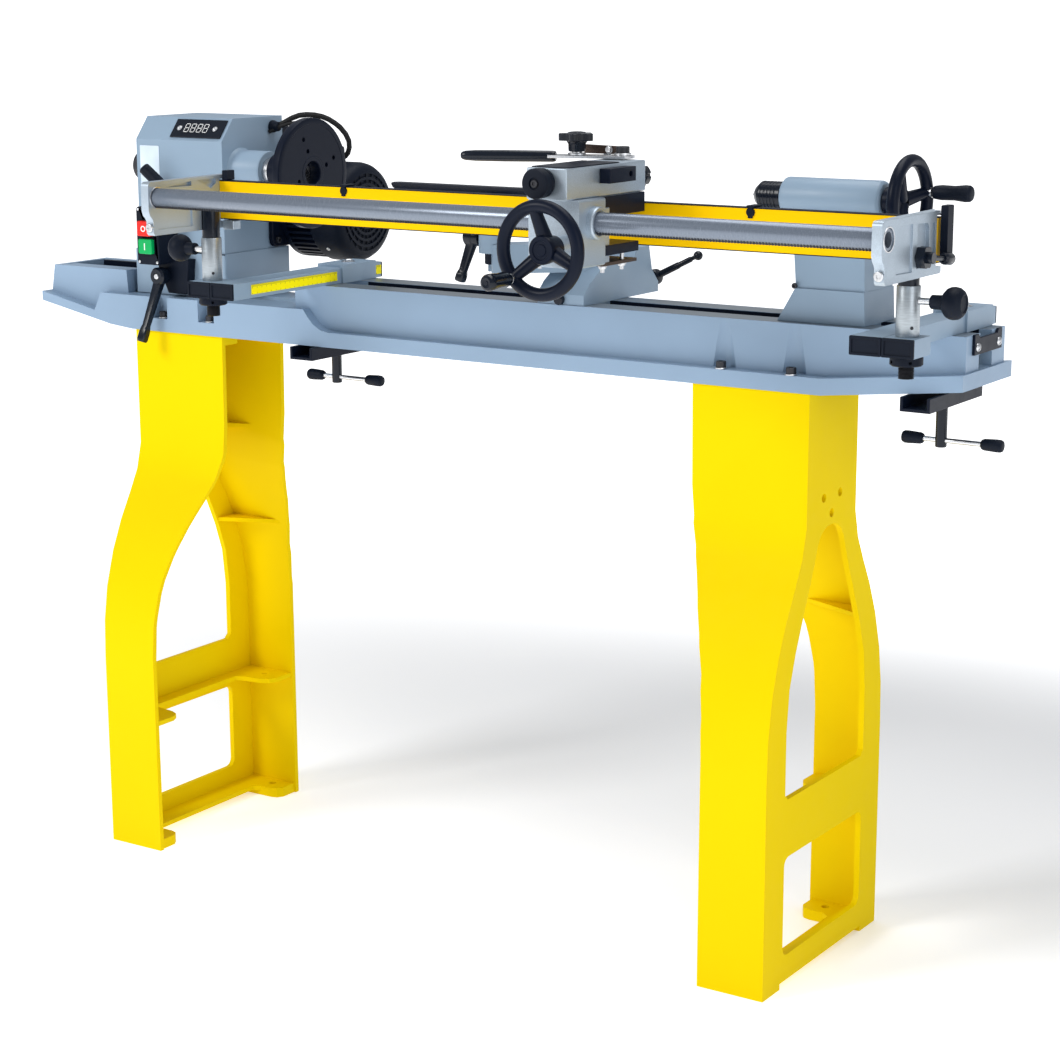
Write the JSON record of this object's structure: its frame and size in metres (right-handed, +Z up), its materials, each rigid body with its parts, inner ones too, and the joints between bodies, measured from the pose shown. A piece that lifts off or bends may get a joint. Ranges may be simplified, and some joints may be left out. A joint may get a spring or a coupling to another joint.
{
  "type": "wood turning lathe",
  "caption": "Floor-standing wood turning lathe with flared cast legs, headstock, tailstock, tool rest and a copy attachment with rack-fed carriage.",
  "frame": {"origin": "centre of the bounding box at floor level, under the machine", "axes": "+X along the bed from headstock to tailstock, +Y away from the operator (the operator stands on the -Y side), +Z up"},
  "size_m": [1.5674, 0.694, 1.094],
  "materials": {
    "machine_paint": "semi-gloss",
    "leg_paint": "semi-gloss",
    "rail_paint": "satin",
    "black_plastic": "fine grain",
    "stop_red": "gloss",
    "start_green": "gloss",
    "bright_steel": "ground",
    "black_iron": "satin black",
    "cast_aluminium": "bead blasted",
    "casting_paint": "semi-gloss",
    "belt_rubber": "matte"
  },
  "bodies": {
    "frame": {"bed": "machine_paint", "leg_left": "leg_paint", "leg_right": "leg_paint", "headstock": "machine_paint", "switch_box": "black_plastic", "front_bearing": "bright_steel", "rear_bearing": "bright_steel", "motor_plate": "black_iron", "motor": "cast_aluminium", "motor_fan_cover": "black_plastic", "motor_cable": "belt_rubber", "drive_belt": "belt_rubber", "belt_cover": "black_plastic", "bar_left": "casting_paint", "bar_right": "casting_paint", "sleeve_left": "cast_aluminium", "sleeve_right": "cast_aluminium", "clamp_channel_left": "black_iron", "clamp_channel_right": "black_iron"},
    "spindle": {"spindle": "bright_steel", "spindle_pulley": "cast_aluminium", "faceplate": "black_iron"},
    "tailstock": {"tailstock": "casting_paint", "tail_clamp": "black_iron"},
    "quill": {"quill": "bright_steel", "live_centre": "black_iron"},
    "banjo": {"banjo": "casting_paint", "banjo_clamp": "black_iron"},
    "gantry": {"post_left": "black_iron", "post_right": "black_iron", "bracket_left": "cast_aluminium", "bracket_right": "cast_aluminium", "rack_tube": "bright_steel", "template_rail": "rail_paint", "template_plate": "black_iron"},
    "banjo_lever": {"banjo_lever": "black_iron"},
    "carriage": {"carriage": "cast_aluminium"},
    "carriage_handle": {"carriage_handle": "black_plastic"},
    "carriage_handwheel": {"carriage_handwheel": "black_iron"},
    "centre_point": {"centre_point": "bright_steel"},
    "clamp_screw_left": {"clamp_screw_left": "black_iron"},
    "clamp_screw_right": {"clamp_screw_right": "black_iron"},
    "feed_knob": {"feed_knob": "black_plastic"},
    "feed_lever": {"feed_lever": "bright_steel"},
    "headstock_lever": {"headstock_lever": "black_plastic"},
    "motor_shaft": {"motor_shaft": "cast_aluminium"},
    "post_knob_left": {"post_knob_left": "black_plastic"},
    "post_knob_right": {"post_knob_right": "black_plastic"},
    "rear_knob": {"rear_knob": "black_plastic"},
    "rest_lever": {"rest_lever": "black_plastic"},
    "speed_lever": {"speed_lever": "black_plastic"},
    "star_knob": {"star_knob": "black_plastic"},
    "start_button": {"start_button": "start_green"},
    "stop_button": {"stop_button": "stop_red"},
    "tail_handle": {"tail_handle": "black_plastic"},
    "tail_handwheel": {"tail_handwheel": "black_iron"},
    "tail_lever": {"tail_lever": "black_iron"},
    "template_lock": {"template_lock": "black_plastic"},
    "tool_rest": {"tool_rest": "black_iron"},
    "top_slide": {"top_slide": "cast_aluminium"}
  },
  "joints": [
    {"name": "stop_press", "type": "slide", "parent": "frame", "child": "stop_button", "axis": [0, 1, 0], "range_m": [0, 0.003], "stiffness_N_per_m": 300},
    {"name": "start_press", "type": "slide", "parent": "frame", "child": "start_button", "axis": [0, 1, 0], "range_m": [0, 0.003], "stiffness_N_per_m": 300},
    {"name": "headstock_lock", "type": "hinge", "parent": "frame", "child": "headstock_lever", "pos_m": [-0.54275, 0.054, 0.854], "axis": [0, 1, 0], "range_deg": [-60, 60]},
    {"name": "speed_change", "type": "hinge", "parent": "frame", "child": "speed_lever", "pos_m": [-0.52075, 0.074, 0.962], "axis": [0, 1, 0], "range_deg": [-25, 70]},
    {"name": "spindle_turn", "type": "hinge", "parent": "frame", "child": "spindle", "pos_m": [-0.34275, 0.129, 1.007], "axis": [1, 0, 0], "continuous": true},
    {"name": "motor_turn", "type": "hinge", "parent": "frame", "child": "motor_shaft", "pos_m": [-0.44275, 0.274, 0.94], "axis": [1, 0, 0], "continuous": true},
    {"name": "tailstock_travel", "type": "slide", "parent": "frame", "child": "tailstock", "axis": [1, 0, 0], "range_m": [-0.2, 0.04]},
    {"name": "quill_feed", "type": "slide", "parent": "tailstock", "child": "quill", "axis": [1, 0, 0], "range_m": [-0.05, 0]},
    {"name": "tail_wheel_turn", "type": "hinge", "parent": "tailstock", "child": "tail_handwheel", "pos_m": [0.60925, 0.129, 1.007], "axis": [1, 0, 0], "range_deg": [0, 3600]},
    {"name": "centre_spin", "type": "hinge", "parent": "quill", "child": "centre_point", "pos_m": [0.40225, 0.129, 1.007], "axis": [1, 0, 0], "continuous": true},
    {"name": "tail_grip_spin", "type": "hinge", "parent": "tail_handwheel", "child": "tail_handle", "pos_m": [0.64725, 0.1782, 1.0157], "axis": [1, 0, 0], "continuous": true},
    {"name": "tail_lock", "type": "hinge", "parent": "tailstock", "child": "tail_lever", "pos_m": [0.52325, 0.179, 0.89], "axis": [0, 1, 0], "range_deg": [-60, 25]},
    {"name": "banjo_travel", "type": "slide", "parent": "frame", "child": "banjo", "axis": [1, 0, 0], "range_m": [-0.18, 0.22]},
    {"name": "banjo_lock", "type": "hinge", "parent": "banjo", "child": "banjo_lever", "pos_m": [0.16525, 0.273, 0.874], "axis": [0, 1, 0], "range_deg": [-60, 20]},
    {"name": "rest_turn", "type": "hinge", "parent": "banjo", "child": "tool_rest", "pos_m": [0.05025, 0.044, 0.95], "axis": [0, 0, 1], "range_deg": [-20, 20]},
    {"name": "rest_lock", "type": "hinge", "parent": "banjo", "child": "rest_lever", "pos_m": [0.02725, 0.044, 0.941], "axis": [1, 0, 0], "range_deg": [-60, 60]},
    {"name": "gantry_lift", "type": "slide", "parent": "frame", "child": "gantry", "axis": [0, 0, 1], "range_m": [-0.006, 0.03]},
    {"name": "template_lock_turn", "type": "hinge", "parent": "gantry", "child": "template_lock", "pos_m": [0.74225, -0.121, 0.97], "axis": [1, 0, 0], "range_deg": [-20, 100]},
    {"name": "post_knob_left_turn", "type": "hinge", "parent": "frame", "child": "post_knob_left", "pos_m": [-0.34675, -0.103, 0.919], "axis": [1, 0, 0], "range_deg": [-180, 180]},
    {"name": "post_knob_right_turn", "type": "hinge", "parent": "frame", "child": "post_knob_right", "pos_m": [0.75725, -0.103, 0.919], "axis": [1, 0, 0], "range_deg": [-180, 180]},
    {"name": "carriage_travel", "type": "slide", "parent": "gantry", "child": "carriage", "axis": [1, 0, 0], "range_m": [-0.55, 0.28]},
    {"name": "carriage_wheel_turn", "type": "hinge", "parent": "carriage", "child": "carriage_handwheel", "pos_m": [0.34525, -0.291, 0.971], "axis": [0, 1, 0], "range_deg": [-1150, 2260]},
    {"name": "carriage_grip_spin", "type": "hinge", "parent": "carriage_handwheel", "child": "carriage_handle", "pos_m": [0.30772, -0.321, 0.93721], "axis": [0, 1, 0], "continuous": true},
    {"name": "slide_feed", "type": "slide", "parent": "carriage", "child": "top_slide", "axis": [0, 1, 0], "range_m": [0, 0.08]},
    {"name": "feed_knob_turn", "type": "hinge", "parent": "top_slide", "child": "feed_knob", "pos_m": [0.32325, -0.261, 1.044], "axis": [0, 1, 0], "range_deg": [-360, 360]},
    {"name": "rear_knob_turn", "type": "hinge", "parent": "top_slide", "child": "rear_knob", "pos_m": [0.34025, -0.066, 1.041], "axis": [0, 1, 0], "range_deg": [-360, 360]},
    {"name": "feed_lever_swing", "type": "hinge", "parent": "top_slide", "child": "feed_lever", "pos_m": [0.32925, -0.084, 1.064], "axis": [0, 0, 1], "range_deg": [-12, 20]},
    {"name": "star_knob_turn", "type": "hinge", "parent": "feed_lever", "child": "star_knob", "pos_m": [0.27725, -0.105, 1.085], "axis": [0, 0, 1], "range_deg": [-180, 180]},
    {"name": "clamp_screw_left_turn", "type": "hinge", "parent": "frame", "child": "clamp_screw_left", "pos_m": [-0.27075, 0.119, 0.72], "axis": [0, 0, 1], "range_deg": [-180, 180]},
    {"name": "clamp_screw_right_turn", "type": "hinge", "parent": "frame", "child": "clamp_screw_right", "pos_m": [0.66475, 0.119, 0.72], "axis": [0, 0, 1], "range_deg": [-180, 180]}
  ],
  "couplings": [
    {"joint": "motor_turn", "follows": "spindle_turn", "ratio": 1.2049},
    {"joint": "quill_feed", "follows": "tail_wheel_turn", "m_per_rad": -0.000795},
    {"joint": "carriage_wheel_turn", "follows": "carriage_travel", "rad_per_m": -71.429}
  ]
}
